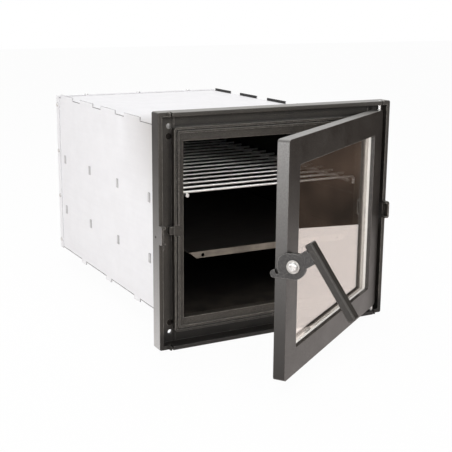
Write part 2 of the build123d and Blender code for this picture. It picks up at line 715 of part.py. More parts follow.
with BuildPart() as door_frame:
    # front plate and half-round hinge edge
    with BuildSketch(door_plane(plate_back)):
        with Locations(((door_free_x + hinge_x) / 2, 0)):
            Rectangle(hinge_x - door_free_x, door_height)
    extrude(amount=door_plate)
    with BuildSketch(hinge_plan(-door_height / 2)):
        Circle(knuckle)
        with Locations((0, -(door_front - hinge_front) - knuckle)):
            Rectangle(4 * knuckle, 2 * knuckle, mode=Mode.SUBTRACT)
    extrude(amount=door_height)
    # top and bottom walls, rounded about the hinge line
    for wall_z in (-door_height / 2, door_height / 2 - door_wall):
        with BuildSketch(hinge_plan(wall_z)):
            with Locations((-(hinge_x - door_free_x) / 2, hinge_front - (door_front + door_back) / 2)):
                Rectangle(hinge_x - door_free_x, door_depth)
            Circle(hinge_eye)
            with Locations((0, -(door_front - hinge_front) - hinge_eye)):
                Rectangle(4 * hinge_eye, 2 * hinge_eye, mode=Mode.SUBTRACT)
            with Locations((knuckle + hinge_eye, 0)):
                Rectangle(2 * hinge_eye, 4 * hinge_eye, mode=Mode.SUBTRACT)
        extrude(amount=door_wall)
    # free-side wall
    with BuildSketch(door_plane(door_back)):
        with Locations((door_free_x + door_wall / 2, 0)):
            Rectangle(door_wall, door_height)
    extrude(amount=door_depth - door_plate)
    # the outline's rounded corners
    with BuildSketch(door_plane(door_back - 1)) as outline:
        with Locations((door_middle_x, 0)):
            Rectangle(door_width, door_height)
        fillet(outline.vertices().sort_by(to_hinge)[:2], free_corner)
        fillet(outline.vertices().sort_by(to_hinge)[-2:], hinge_corner)
    extrude(amount=door_depth + 2, mode=Mode.INTERSECT)
    # window, and the rope's seat in the back
    with BuildSketch(door_plane(plate_back)):
        RectangleRounded(window_width, window_height, window_corner)
    extrude(amount=door_plate, mode=Mode.SUBTRACT)
    with BuildSketch(door_plane(plate_back)):
        seat_outside = rope_line - rope_width / 2 - rope_side_gap
        lip_ring(seat_outside, rope_width + 2 * rope_side_gap)
    extrude(amount=rope_seat, mode=Mode.SUBTRACT)
    # boss for the latch's pivot bolt
    with BuildSketch(latch_plane(0)):
        with Locations(((boss_proud - boss_corner) / 2 - pivot_above_face, 0)):
            RectangleRounded(boss_proud + boss_corner, boss_height, boss_corner)
        with Locations((-pivot_above_face - boss_corner, 0)):
            Rectangle(2 * boss_corner, 2 * boss_height, mode=Mode.SUBTRACT)
    extrude(amount=-boss_length)
    with BuildSketch(latch_plane(0)):
        Circle(pivot_size / 2 + hole_play)
    extrude(amount=-boss_length, mode=Mode.SUBTRACT)
    # blind holes for the hinge pins
    with BuildSketch(hinge_plan(door_height / 2 - hinge_pin_depth)):
        Circle(hinge_pin / 2 + hinge_clearance)
    extrude(amount=hinge_pin_depth, mode=Mode.SUBTRACT)
    with BuildSketch(hinge_plan(-door_height / 2)):
        Circle(hinge_pin / 2 + hinge_clearance)
    extrude(amount=hinge_pin_depth, mode=Mode.SUBTRACT)
    # threaded holes for the glass clips
    with BuildSketch(door_plane(plate_back)):
        with Locations(*clip_screw_places):
            Circle(clip_screw / 2 + hole_play)
    extrude(amount=clip_hole_depth, mode=Mode.SUBTRACT)
door_frame.part.label = "door_frame"
export_step(door_frame.part, "parts/door_frame.step")

with BuildPart() as glass_gasket:
    with BuildSketch(door_plane(glass_front)):
        inset_width = window_width + 2 * gasket_inset
        inset_height = window_height + 2 * gasket_inset
        Rectangle(glass_width, glass_height)
        RectangleRounded(inset_width, inset_height, window_corner, mode=Mode.SUBTRACT)
    extrude(amount=gasket_thick)
glass_gasket.part.label = "glass_gasket"
export_step(glass_gasket.part, "parts/glass_gasket.step")

with BuildPart() as door_glass:
    with BuildSketch(door_plane(glass_back)):
        Rectangle(glass_width, glass_height)
    extrude(amount=glass_thick)
door_glass.part.label = "door_glass"
export_step(door_glass.part, "parts/door_glass.step")

with BuildPart() as seal_rope:
    with BuildSketch(door_plane(plate_back + rope_seat - rope_thick)):
        lip_ring(rope_line - rope_width / 2, rope_width)
    extrude(amount=rope_thick)
    oven_side = seal_rope.faces().sort_by(out_axis)[0]
    fillet(oven_side.edges(), rope_round)
seal_rope.part.label = "door_seal_rope"
export_step(seal_rope.part, "parts/door_seal_rope.step")

# clips that hold the glass: a foot on the plate, a riser past the glass, a lip over it
for number, (x, z, (out_x, out_z)) in enumerate(clip_places, start=1):
    outwards = across_door * out_x + Vector(0, 0, 1) * out_z
    base = door_plane(plate_back)
    corner = base.from_local_coords((x, z, 0))
    profile = Plane(origin=corner, x_dir=outwards, z_dir=outwards.cross(-out_of_door))
    stack = gasket_thick + glass_thick
    with BuildPart() as clip:
        with BuildSketch(profile):
            with BuildLine():
                Polyline(
                    (clip_gap, 0),
                    (clip_foot, 0),
                    (clip_foot, clip_thick),
                    (clip_gap + clip_thick, clip_thick),
                    (clip_gap + clip_thick, stack + clip_thick),
                    (-clip_lip, stack + clip_thick),
                    (-clip_lip, stack),
                    (clip_gap, stack),
                    close=True,
                )
            make_face()
        extrude(amount=clip_long / 2, both=True)
        with BuildSketch(base):
            with Locations((x + out_x * clip_screw_out, z + out_z * clip_screw_out)):
                Circle(clip_screw / 2 + hole_play)
        extrude(amount=-2 * clip_thick, mode=Mode.SUBTRACT)
    clip.part.label = f"glass_clip_{number}"
    export_step(clip.part, f"parts/glass_clip_{number}.step")

with BuildPart() as clip_screws:
    with BuildSketch(door_plane(plate_back - clip_thick)):
        with Locations(*clip_screw_places):
            Circle(clip_screw / 2)
    extrude(amount=clip_screw_long)
    with BuildSketch(door_plane(plate_back - clip_thick)):
        with Locations(*clip_screw_places):
            Circle(clip_head / 2)
    extrude(amount=-clip_head_tall)
    with BuildSketch(door_plane(plate_back - clip_thick - clip_head_tall)):
        with Locations(*clip_screw_places):
            RegularPolygon(clip_socket / 2, 6, major_radius=False)
    extrude(amount=clip_head_tall / 2, mode=Mode.SUBTRACT)
clip_screws.part.label = "glass_clip_screws"
export_step(clip_screws.part, "parts/glass_clip_screws.step")

# ---------------------------------------------------------------- latch
rise = math.radians(arm_angle)
along_arm = (math.cos(rise), math.sin(rise))
along_grip = (math.sin(rise), -math.cos(rise))


def arm_point(out, down):
    """A point of the latch's plane, `out` along the arm and `down` along the grip."""
    return (out * along_arm[0] + down * along_grip[0], out * along_arm[1] + down * along_grip[1])


def polar(radius, angle):
    """A point of the latch's plane at a radius and an angle round the pivot."""
    return (radius * math.cos(math.radians(angle)), radius * math.sin(math.radians(angle)))


catch_angle = 180 + math.degrees(math.asin(catch_drop / catch_reach))
slot_width = catch_pin + 2 * catch_clearance
slot_end_angle = catch_angle + latch_throw + 2
with BuildPart() as latch_lever:
    with BuildSketch(latch_plane(lever_inner)) as lever_shape:
        # body of the hook, hub, arm and nose
        with BuildLine():
            Polyline(*hook_outline, close=True)
        make_face()
        Circle(hub_radius)
        with BuildLine():
            Polyline(
                arm_point(0, -arm_width / 2),
                arm_point(arm_reach, -arm_width / 2),
                arm_point(arm_reach, arm_width / 2),
                arm_point(0, arm_width / 2),
                close=True,
            )
        make_face()
        with BuildLine():
            Polyline(
                arm_point(arm_reach - grip_bevel, -tenon_width / 2),
                arm_point(arm_reach + tenon_depth, -tenon_width / 2),
                arm_point(arm_reach + tenon_depth, tenon_width / 2),
                arm_point(arm_reach - grip_bevel, tenon_width / 2),
                close=True,
            )
        make_face()
        with Locations(polar(nose_reach, nose_angle)):
            Circle(nose_radius)
        Circle(pivot_size / 2 + hinge_clearance, mode=Mode.SUBTRACT)
        # slot for the catch pin, open towards the frame
        inner_radius = catch_reach - slot_width / 2
        outer_radius = catch_reach + slot_width / 2
        with BuildLine():
            inner_arc = CenterArc((0, 0), inner_radius, catch_angle, slot_end_angle - catch_angle)
            outer_arc = CenterArc((0, 0), outer_radius, catch_angle, slot_end_angle - catch_angle)
            Line(inner_arc @ 0, outer_arc @ 0)
            Line(inner_arc @ 1, outer_arc @ 1)
        make_face(mode=Mode.SUBTRACT)
        with Locations(polar(catch_reach, catch_angle), polar(catch_reach, slot_end_angle)):
            Circle(slot_width / 2, mode=Mode.SUBTRACT)
        entry_x, entry_z = polar(catch_reach, catch_angle)
        with Locations((entry_x - hub_radius / 2, entry_z)):
            Rectangle(hub_radius, slot_width, mode=Mode.SUBTRACT)
    extrude(amount=lever_thick)
latch_lever.part.label = "latch_lever"
export_step(latch_lever.part, "parts/latch_lever.step")

grip_outer = lever_outer + grip_lap
with BuildPart() as latch_grip:
    with BuildSketch(latch_plane(grip_outer - grip_thick)):
        with BuildLine():
            Polyline(
                arm_point(arm_reach, -grip_above),
                arm_point(arm_reach + grip_width, -grip_above),
                arm_point(arm_reach + grip_width, grip_length - grip_above),
                arm_point(arm_reach, grip_length - grip_above),
                close=True,
            )
        make_face()
    extrude(amount=grip_thick)
    chamfer(latch_grip.edges(), grip_bevel)
    with BuildSketch(latch_plane(lever_inner - tenon_play)):
        with BuildLine():
            Polyline(
                arm_point(arm_reach - grip_bevel, -tenon_width / 2 - tenon_play),
                arm_point(arm_reach + tenon_depth + tenon_play, -tenon_width / 2 - tenon_play),
                arm_point(arm_reach + tenon_depth + tenon_play, tenon_width / 2 + tenon_play),
                arm_point(arm_reach - grip_bevel, tenon_width / 2 + tenon_play),
                close=True,
            )
        make_face()
    extrude(amount=lever_thick + 2 * tenon_play, mode=Mode.SUBTRACT)
latch_grip.part.label = "latch_grip"
export_step(latch_grip.part, "parts/latch_grip.step")

with BuildPart() as washer:
    with BuildSketch(latch_plane(lever_play / 2)):
        Circle(friction_washer_size / 2)
        Circle(pivot_size / 2 + hole_play, mode=Mode.SUBTRACT)
    extrude(amount=friction_washer)
washer.part.label = "friction_washer"
export_step(washer.part, "parts/friction_washer.step")

with BuildPart() as pivot_washer:
    with BuildSketch(latch_plane(washer_outer - bolt_washer)):
        Circle(bolt_washer_size / 2)
        Circle(pivot_size / 2 + hole_play, mode=Mode.SUBTRACT)
    extrude(amount=bolt_washer)
    chamfer(pivot_washer.faces().sort_by(to_hinge)[0].outer_wire().edges(), bolt_washer_chamfer)
pivot_washer.part.label = "pivot_washer"
export_step(pivot_washer.part, "parts/pivot_washer.step")

with BuildPart() as pivot_bolt:
    with BuildSketch(latch_plane(washer_outer)):
        Circle(bolt_head_size / 2)
    extrude(amount=bolt_head)
    fillet(pivot_bolt.faces().sort_by(to_hinge)[0].outer_wire().edges(), bolt_head_round)
    with BuildSketch(latch_plane(head_outer)):
        RegularPolygon(bolt_socket / 2, 6, major_radius=False)
    extrude(amount=-bolt_head / 2, mode=Mode.SUBTRACT)
    with BuildSketch(latch_plane(washer_outer)):
        Circle(pivot_size / 2)
    extrude(amount=-bolt_length)
pivot_bolt.part.label = "pivot_bolt"
export_step(pivot_bolt.part, "parts/pivot_bolt.step")
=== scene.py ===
# %% [markdown]
# # A baking-oven insert for a masonry stove
#
# The solid model of the oven is finished: every casting, sheet, pin and wire has its shape and place.
# This lesson dresses it. It loads the solid as a fixed frame, sets the camera where the photographer
# stood, gives every surface the material that the real one has, and models what a solid model leaves
# plain: the knitted seal rope, the felted glass tape and the rack's weld beads.

import json
import math

import bmesh
import bpy
from mathutils import Matrix, Vector, noise


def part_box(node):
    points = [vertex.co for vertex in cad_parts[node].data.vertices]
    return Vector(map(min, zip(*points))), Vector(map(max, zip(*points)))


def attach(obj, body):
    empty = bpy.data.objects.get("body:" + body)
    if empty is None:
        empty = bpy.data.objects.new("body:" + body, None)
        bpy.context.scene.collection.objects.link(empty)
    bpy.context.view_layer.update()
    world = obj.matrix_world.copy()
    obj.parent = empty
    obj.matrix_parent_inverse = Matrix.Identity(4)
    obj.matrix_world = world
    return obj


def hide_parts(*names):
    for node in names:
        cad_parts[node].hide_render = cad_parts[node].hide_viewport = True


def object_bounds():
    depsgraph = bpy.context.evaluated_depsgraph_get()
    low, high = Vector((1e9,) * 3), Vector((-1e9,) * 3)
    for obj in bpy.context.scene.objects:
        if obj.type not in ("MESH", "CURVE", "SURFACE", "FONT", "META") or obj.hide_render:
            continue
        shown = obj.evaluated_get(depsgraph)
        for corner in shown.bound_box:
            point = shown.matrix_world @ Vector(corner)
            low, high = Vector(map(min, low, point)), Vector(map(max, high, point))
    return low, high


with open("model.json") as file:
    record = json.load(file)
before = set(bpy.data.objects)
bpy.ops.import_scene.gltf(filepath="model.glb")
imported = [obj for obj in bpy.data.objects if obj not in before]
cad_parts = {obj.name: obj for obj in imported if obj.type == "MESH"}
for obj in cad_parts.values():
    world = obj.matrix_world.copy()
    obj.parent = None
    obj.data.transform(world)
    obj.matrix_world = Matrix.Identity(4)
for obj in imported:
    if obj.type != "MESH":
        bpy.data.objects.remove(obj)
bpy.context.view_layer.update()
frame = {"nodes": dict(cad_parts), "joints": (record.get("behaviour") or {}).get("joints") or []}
MM = 0.001
nodes = frame["nodes"]

# %% [markdown]
# ## The camera
#
# The photograph was taken from the front left and from above. The camera's place and turn were worked
# out from the edges of the frame, the casing and the open door. A camera looks along its own -Z axis,
# so its matrix has the right, up and backward directions as its columns.

# %% Camera
camera_azimuth = math.radians(-28.324)
camera_elevation = math.radians(13.472)
camera_roll = math.radians(0.440)
camera_place = Vector((-766.18, -1268.96, 342.05)) * MM
focal_length_px = 964.536
photo_width_px = 452.0

backward = Vector((
    math.sin(camera_azimuth) * math.cos(camera_elevation),
    -math.cos(camera_azimuth) * math.cos(camera_elevation),
    math.sin(camera_elevation),
))
level_right = Vector((math.cos(camera_azimuth), math.sin(camera_azimuth), 0.0))
level_up = backward.cross(level_right)
right = level_right * math.cos(camera_roll) + level_up * math.sin(camera_roll)
up = level_up * math.cos(camera_roll) - level_right * math.sin(camera_roll)

camera_data = bpy.data.cameras.new("camera")
camera_data.sensor_width = 36.0
camera_data.sensor_fit = "HORIZONTAL"
camera_data.lens = focal_length_px / photo_width_px * camera_data.sensor_width
camera_data.clip_end = 50.0
camera = bpy.data.objects.new("camera", camera_data)
turn = Matrix((right, up, backward)).transposed().to_4x4()
camera.matrix_world = Matrix.Translation(camera_place) @ turn
bpy.context.scene.collection.objects.link(camera)
bpy.context.scene.camera = camera
print("lens:", round(camera_data.lens, 2), "mm")

# %% [markdown]
# ## Colours and nodes
#
# Colours are written as on a colour card, as sRGB hex values. Blender mixes light in linear values, so
# one function turns a hex value into those. A second function adds a shader node with its settings,
# values and links, which keeps each material short and readable.


# %% Helpers for colours and nodes
def colour(hex_value):
    """A linear colour from an sRGB hex value such as 'c8c4bc'."""
    channels = [int(hex_value[i:i + 2], 16) / 255 for i in (0, 2, 4)]
    return (*[c / 12.92 if c <= 0.04045 else ((c + 0.055) / 1.055) ** 2.4 for c in channels], 1.0)


def feed(node, **inputs):
    """Sets or links a node's inputs, by name or by number as i0, i1 and so on."""
    for name, value in inputs.items():
        socket = node.inputs[int(name[1:]) if name[1:].isdigit() else name.replace("_", " ")]
        if isinstance(value, bpy.types.NodeSocket):
            node.id_data.links.new(value, socket)
        else:
            socket.default_value = value


def add(tree, kind, out=None, settings=None, **inputs):
    """Adds a shader node and gives back the node, or one of its outputs."""
    node = tree.nodes.new("ShaderNode" + kind)
    for name, value in (settings or {}).items():
        setattr(node, name, value)
    feed(node, **inputs)
    return node if out is None else node.outputs[out]


def start(name):
    """A new material with its tree, its Principled shader and the object's own coordinates."""
    made = bpy.data.materials.new(name)
    made.use_nodes = True
    tree = made.node_tree
    return made, tree, tree.nodes["Principled BSDF"], add(tree, "TexCoord", "Object")


def paint(made, *names):
    """Gives solid nodes a material."""
    for name in names:
        mesh = nodes[name].data
        mesh.materials.clear()
        mesh.materials.append(made)
    print(made.name, "on", ", ".join(names))


COLOURS = {"data_type": "RGBA"}
print("middle grey 808080 in linear light:", round(colour("808080")[0], 3))

# %% [markdown]
# ## Cast iron and steel under matt black paint
#
# The frame and the door are grey iron, cast in sand and sprayed with matt heat-proof paint. Sand leaves
# a fine grain, drawn here as grains of about a millimetre so that they still show in a small picture.
# The paint lies thinner on edges, where paler iron shows through, and the pale edges also carry a
# painted highlight. The Bevel node finds the edges: its normal differs from the true one only close to
# them. Painted shade darkens grooves and corners, which the Ambient Occlusion node finds, and the
# frame's low end. Faces that look up are paler, more so high on the piece.
#
# The outer side faces also carry a painted sheen that stands in for light. On the frame it is a painted
# reflection, dark high up and pale near the ground, and on the door a painted highlight from the left,
# palest near the top. It covers faces that look outwards and lie far enough out. The normal is read in
# the object's own axes, so that the sheen turns with the door, whose free side faces left and a little
# forward as the door stands open. The sheen's function comes first, because the paint uses it.


# %% The painted sheen on side faces
def painted_side_sheen(tree, place, height, true_normal, grain, body, outwards, reach_mm, heights_mm, rise,
              tints):
    """Covers the outermost faces with a painted sheen that grows from the first height to the second."""
    own_axes = {"vector_type": "NORMAL", "convert_from": "WORLD", "convert_to": "OBJECT"}
    own_normal = add(tree, "VectorTransform", "Vector", own_axes, Vector=true_normal)
    faces_out = add(tree, "VectorMath", "Value", {"operation": "DOT_PRODUCT"}, i0=own_normal,
                    i1=outwards)
    faces_out = add(tree, "Math", "Value", {"operation": "ABSOLUTE"}, i0=faces_out)
    faces_out = add(tree, "MapRange", "Result", Value=faces_out, From_Min=0.7, From_Max=0.95)
    distance = add(tree, "VectorMath", "Value", {"operation": "DOT_PRODUCT"}, i0=place, i1=outwards)
    distance = add(tree, "Math", "Value", {"operation": "ABSOLUTE"}, i0=distance)
    outermost = add(tree, "Math", "Value", {"operation": "GREATER_THAN"}, i0=distance, i1=reach_mm * MM)
    sheen_amount = add(tree, "MapRange", "Result", Value=height,
                From_Min=heights_mm[0] * MM, From_Max=heights_mm[1] * MM)
    sheen_amount = add(tree, "Math", "Value", {"operation": "POWER"}, i0=sheen_amount, i1=rise)
    sheen_colour = add(tree, "Mix", 2, COLOURS, i0=sheen_amount, i6=colour(tints[0]), i7=colour(tints[1]))
    covered = add(tree, "Math", "Value", {"operation": "MULTIPLY"}, i0=faces_out, i1=outermost)
    patchy = add(tree, "MapRange", "Result", Value=grain,
                 From_Min=0.3, From_Max=0.6, To_Min=0.6, To_Max=1.0)
    covered = add(tree, "Math", "Value", {"operation": "MULTIPLY"}, i0=covered, i1=patchy)
    return add(tree, "Mix", 2, COLOURS, i0=covered, i6=body, i7=sheen_colour)


# Painted reflection on the frame's sides, pale low down, and painted highlight on the door's free side,
# pale high up.
door_free_side = (-0.819152, -0.573576, 0.0)
frame_sheen = {"outwards": (1.0, 0.0, 0.0), "reach_mm": 203.0, "heights_mm": (150.0, -170.0),
              "rise": 1.6, "tints": ("181614", "c4c2c1")}
door_sheen = {"outwards": door_free_side, "reach_mm": 235.0, "heights_mm": (-150.0, 150.0),
             "rise": 1.3, "tints": ("1e1c1a", "777573")}
print("film beyond", frame_sheen["reach_mm"], "and", door_sheen["reach_mm"], "mm")

# %% [markdown]
# The paint itself is built up in layers: two tones in large patches, grains of bare iron, pale worn
# edges with a painted highlight, painted shade, paler up-facing faces and last the painted sheen. It
# could be painted by hand on a picture for each piece, but nodes find the edges and grooves of every
# piece by themselves. The grain and the patches also raise the surface a little.

# %% Painted iron
patch_mm = 40
rub_mm = 6
paint_edge_mm = 1.2
groove_mm = 9
shade_fade_mm = 6.0
below_all_mm = -400.0
up_face_heights_mm = (-60, 100)
grain_relief_mm = 0.08
patch_relief_mm = 0.3


def painted_iron(name, tones, bare, edge_wear_highlight, rough, grain_mm, grain_show, gloss, sheen_settings=None,
                 shade_below_mm=below_all_mm):
    made, tree, shader, place = start(name)
    patches = add(tree, "TexNoise", "Fac", Vector=place, Scale=1 / (patch_mm * MM), Detail=4.0,
                  Roughness=0.6)
    grain = add(tree, "TexNoise", "Fac", Vector=place, Scale=1 / (grain_mm * MM), Detail=2.0,
                Roughness=0.6)
    rubbed = add(tree, "TexNoise", "Fac", Vector=place, Scale=1 / (rub_mm * MM), Detail=3.0,
                 Roughness=0.7)
    tone = add(tree, "MapRange", "Result", Value=patches, From_Min=0.35, From_Max=0.65)
    body = add(tree, "Mix", 2, COLOURS, i0=tone, i6=colour(tones[0]), i7=colour(tones[1]))
    specks = add(tree, "MapRange", "Result", Value=grain, From_Min=0.45, From_Max=0.75,
                 To_Max=grain_show)
    body = add(tree, "Mix", 2, COLOURS, i0=specks, i6=body, i7=colour(bare))

    true_normal = add(tree, "NewGeometry", "Normal")
    soft_normal = add(tree, "Bevel", "Normal", {"samples": 6}, Radius=paint_edge_mm * MM)
    alike = add(tree, "VectorMath", "Value", {"operation": "DOT_PRODUCT"}, i0=true_normal,
                i1=soft_normal)
    # Pale edges: thinner paint, with a painted highlight along them.
    edge = add(tree, "MapRange", "Result", Value=alike, From_Min=0.985, From_Max=0.88)
    wear = add(tree, "MapRange", "Result", Value=rubbed,
               From_Min=0.3, From_Max=0.6, To_Min=0.25, To_Max=1.0)
    worn_lit_edge = add(tree, "Math", "Value", {"operation": "MULTIPLY"}, i0=edge, i1=wear)
    body = add(tree, "Mix", 2, COLOURS, i0=worn_lit_edge, i6=body, i7=colour(edge_wear_highlight))

    # Painted shade: grooves and corners are darkened, and the frame's low end too.
    open_sky = add(tree, "AmbientOcclusion", "AO", {"samples": 6}, Distance=groove_mm * MM)
    darkening = add(tree, "MapRange", "Result", Value=open_sky, From_Min=0.85, From_Max=0.4, To_Max=0.9)
    height = add(tree, "SeparateXYZ", "Z", Vector=place)
    shade_low_down = add(tree, "MapRange", "Result", Value=height,
                   From_Min=(shade_below_mm + shade_fade_mm) * MM,
                   From_Max=(shade_below_mm - shade_fade_mm) * MM, To_Max=0.8)
    darkening = add(tree, "Math", "Value", {"operation": "MAXIMUM"}, i0=darkening, i1=shade_low_down)
    body = add(tree, "Mix", 2, COLOURS, i0=darkening, i6=body, i7=colour("0e0d0c"))

    # Faces that look up are paler, more so high on the piece.
    looks_up = add(tree, "SeparateXYZ", "Z", Vector=true_normal)
    high = add(tree, "MapRange", "Result", Value=height, From_Min=up_face_heights_mm[0] * MM,
               From_Max=up_face_heights_mm[1] * MM, To_Max=0.8)
    paler_upward = add(tree, "MapRange", "Result", Value=looks_up, From_Min=0.6, From_Max=1.0)
    paler_upward = add(tree, "Math", "Value", {"operation": "MULTIPLY"}, i0=paler_upward, i1=high)
    body = add(tree, "Mix", 2, COLOURS, i0=paler_upward, i6=body, i7=colour("8f8d89"))
    # The painted sheen goes on last.
    if sheen_settings:
        body = painted_side_sheen(tree, place, height, true_normal, grain, body, **sheen_settings)

    roughness = add(tree, "MapRange", "Result", Value=patches, From_Min=0.3, From_Max=0.7,
                    To_Min=rough - 0.05, To_Max=rough + 0.07)
    sand = add(tree, "Bump", "Normal", Height=grain, Distance=grain_relief_mm * MM, Normal=soft_normal)
    waves = add(tree, "Bump", "Normal", Height=patches, Distance=patch_relief_mm * MM, Normal=sand)
    feed(shader, Base_Color=body, Roughness=roughness, Normal=waves, Specular_IOR_Level=gloss)
    return made


frame_iron = painted_iron("stove_paint_on_cast_iron", ("272421", "35312c"), "8a847b", "b4aea5",
                          rough=0.46, grain_mm=1.0, grain_show=0.35, gloss=0.4,
                          sheen_settings=frame_sheen, shade_below_mm=-152.0)
door_iron = painted_iron("door_paint_on_cast_iron", ("24211f", "2f2c29"), "6d6863", "8d8780",
                         rough=0.36, grain_mm=1.6, grain_show=0.4, gloss=0.55, sheen_settings=door_sheen)
paint(frame_iron, "front_frame")
paint(door_iron, "door_frame")

# %% [markdown]
# The latch is flat and square steel bar with the same paint. Its lever looks speckled, because the
# paint was sprayed thickly on a blasted surface, and its grip is darker.

# %% Painted bar
lever_steel = painted_iron("spray_paint_on_blasted_steel", ("222121", "302f2f"), "7d7a77", "a5a29f",
                           rough=0.5, grain_mm=1.3, grain_show=0.5, gloss=0.45)
grip_steel = painted_iron("spray_paint_on_square_bar", ("1f1c1a", "2b2825"), "6e6a64", "8f8a83",
                          rough=0.44, grain_mm=1.0, grain_show=0.3, gloss=0.4)
paint(lever_steel, "latch_lever")
paint(grip_steel, "latch_grip")

# %% [markdown]
# ## Bright and dark steel
#
# The hinge pins, the pivot bolt and its washer, the frame's nuts and the rear panel's screws are
# zinc-plated steel: bright, slightly cloudy metal. The frame's screws, the glass clips with their
# screws, the friction washer and the catch pin are black-oxide steel, which is metal too, but dark and
# oily. The rack is chrome-plated wire, brighter than both and a little dulled by the heat. One function
# makes all of them, because they differ only in tone, roughness and the size of the clouding.


# %% Plated and blackened steel
grit_mm = 0.5
grit_relief_mm = 0.02
metal_edge_mm = 0.4


def bare_metal(name, dark, light, rough, cloud_mm=3.0):
    made, tree, shader, place = start(name)
    cloud = add(tree, "TexNoise", "Fac", Vector=place, Scale=1 / (cloud_mm * MM), Detail=3.0,
                Roughness=0.6)
    grit = add(tree, "TexNoise", "Fac", Vector=place, Scale=1 / (grit_mm * MM), Detail=2.0)
    tone = add(tree, "MapRange", "Result", Value=cloud, From_Min=0.3, From_Max=0.7)
    body = add(tree, "Mix", 2, COLOURS, i0=tone, i6=colour(dark), i7=colour(light))
    roughness = add(tree, "MapRange", "Result", Value=cloud, From_Min=0.3, From_Max=0.7,
                    To_Min=rough - 0.06, To_Max=rough + 0.06)
    soft_normal = add(tree, "Bevel", "Normal", {"samples": 4}, Radius=metal_edge_mm * MM)
    gritty = add(tree, "Bump", "Normal", Height=grit, Distance=grit_relief_mm * MM, Normal=soft_normal)
    feed(shader, Base_Color=body, Metallic=1.0, Roughness=roughness, Normal=gritty)
    return made


bright_steel = bare_metal("zinc_plated_steel", "c2c2c2", "dcdcda", rough=0.32)
washer_steel = bare_metal("zinc_plated_washer_steel", "9c9b99", "b7b6b3", rough=0.36)
dark_steel = bare_metal("black_oxide_steel", "262422", "383532", rough=0.42)
chrome = bare_metal("chrome_plated_wire", "e8e9e7", "fafbf9", rough=0.38, cloud_mm=9.0)
paint(bright_steel, "hinge_pin_top", "hinge_pin_bottom", "frame_nuts", "rear_panel_screws",
      "pivot_bolt")
paint(washer_steel, "pivot_washer")
paint(dark_steel, "catch_pin", "frame_screws", "friction_washer", "glass_clip_screws",
      *[f"glass_clip_{number}" for number in range(1, 7)])
paint(chrome, "wire_rack")

# %% [markdown]
# ## Casing: aluminised sheet steel
#
# The casing is thin steel with a hot-dipped aluminium coat, so it is near-white, and faintly streaked
# along the rolling direction. Inside, the oven is blackened. Each panel is one sheet with both faces,
# so its material looks at the place of a point: beyond the sheet's middle it is outside. Two materials
# for the two faces would do as well, but then every face would have to be picked out. Close behind the
# hot frame the sheet is darker, in a wider band on the top and bottom, and behind that, towards the top,
# lies a grey painted shadow of the frame. On the oven's floor lies a little grey ash. The runners' tabs,
# folded flat outside, are greyer with painted shade. A sheet that is cut after coating has bare grey
# steel along its edges, and the Bevel node finds these.

# %% Casing sheet
casing_reach = Vector((167.6, 535.0, 149.0)) * MM
far_away = 10.0
half_sheet_mm = 0.7
mottle_mm = 30
streak_mm = 6
shadow_behind_mm = (210, 80)
shadow_heights_mm = (10, 140)
side_band_mm = (48, 12)
top_band_mm = (90, 52)
ash_below_mm = -146
ash_behind_mm = (170, 10)
sheet_edge_mm = 1.0
dimple_mm = 0.05
flat_tones = ("eeedef", "f2f1f3")
# Painted shade on the runners' folded tabs.
shaded_tab_tones = ("bcbabb", "c9c7c8")


